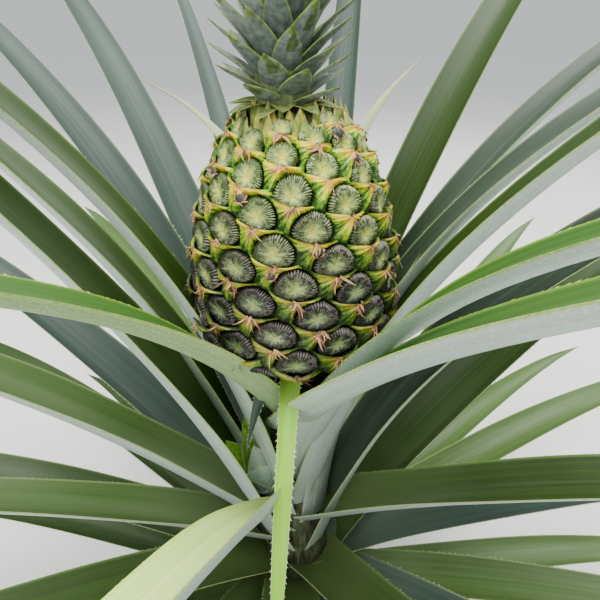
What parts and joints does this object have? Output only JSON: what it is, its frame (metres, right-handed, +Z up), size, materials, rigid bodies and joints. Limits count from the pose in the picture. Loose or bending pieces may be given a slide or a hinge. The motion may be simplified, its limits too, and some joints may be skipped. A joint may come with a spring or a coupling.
{
  "type": "fruiting pineapple plant",
  "caption": "Fruiting pineapple plant: a short stem with a rosette of long channelled leaves, and a stalk that carries the fruit and its crown.",
  "frame": {"origin": "centre of the flat cut under the stem, at ground level", "axes": "+Z up along the stem and the fruit, the side that the plant shows best faces -Y"},
  "size_m": [1.1933, 1.1721, 0.7898],
  "materials": {
    "leaf": "waxy green leaf with a grey-green underside and yellow-green spiny edges",
    "bract": "light yellow-green narrow leaf with pale edges",
    "stem": "grey-green fibrous stem with old leaf bases",
    "fruit": "unripe fruit skin, grey-green and dark purple-brown eyes with yellow-green bracts and dry pinkish tips",
    "crown": "bloomed grey-green short leaves with yellow-green edges",
    "slip": "small grey-green side rosette"
  },
  "bodies": {
    "root": {"bract_front": "bract", "bract_front_left": "bract", "bract_rear_left": "bract", "bract_rear_right": "bract", "crown": "crown", "fruit": "fruit", "leaf_front_left": "leaf", "leaf_left_behind": "leaf", "leaf_left_broad": "leaf", "leaf_left_clasping": "leaf", "leaf_left_high": "leaf", "leaf_left_level": "leaf", "leaf_left_second": "leaf", "leaf_left_third": "leaf", "leaf_rear": "leaf", "leaf_rear_left": "leaf", "leaf_rear_left_low": "leaf", "leaf_rear_right": "leaf", "leaf_rear_upright": "leaf", "leaf_right_broad": "leaf", "leaf_right_clasping": "leaf", "leaf_right_front": "leaf", "leaf_right_high": "leaf", "leaf_right_inner": "leaf", "leaf_right_low": "leaf", "leaf_right_second": "leaf", "leaf_right_third": "leaf", "leaf_ring_01": "leaf", "leaf_ring_02": "leaf", "leaf_ring_03": "leaf", "leaf_ring_04": "leaf", "leaf_ring_05": "leaf", "leaf_ring_06": "leaf", "leaf_ring_07": "leaf", "leaf_ring_08": "leaf", "leaf_ring_09": "leaf", "leaf_ring_10": "leaf", "leaf_ring_11": "leaf", "leaf_ring_12": "leaf", "leaf_ring_13": "leaf", "leaf_ring_14": "leaf", "leaf_ring_15": "leaf", "leaf_ring_16": "leaf", "leaf_ring_17": "leaf", "leaf_ring_18": "leaf", "leaf_ring_19": "leaf", "leaf_ring_20": "leaf", "leaf_ring_21": "leaf", "leaf_ring_22": "leaf", "leaf_ring_23": "leaf", "leaf_ring_24": "leaf", "leaf_ring_25": "leaf", "leaf_ring_26": "leaf", "leaf_ring_27": "leaf", "leaf_ring_28": "leaf", "peduncle": "stem", "slip": "slip", "stem": "stem"}
  },
  "joints": []
}
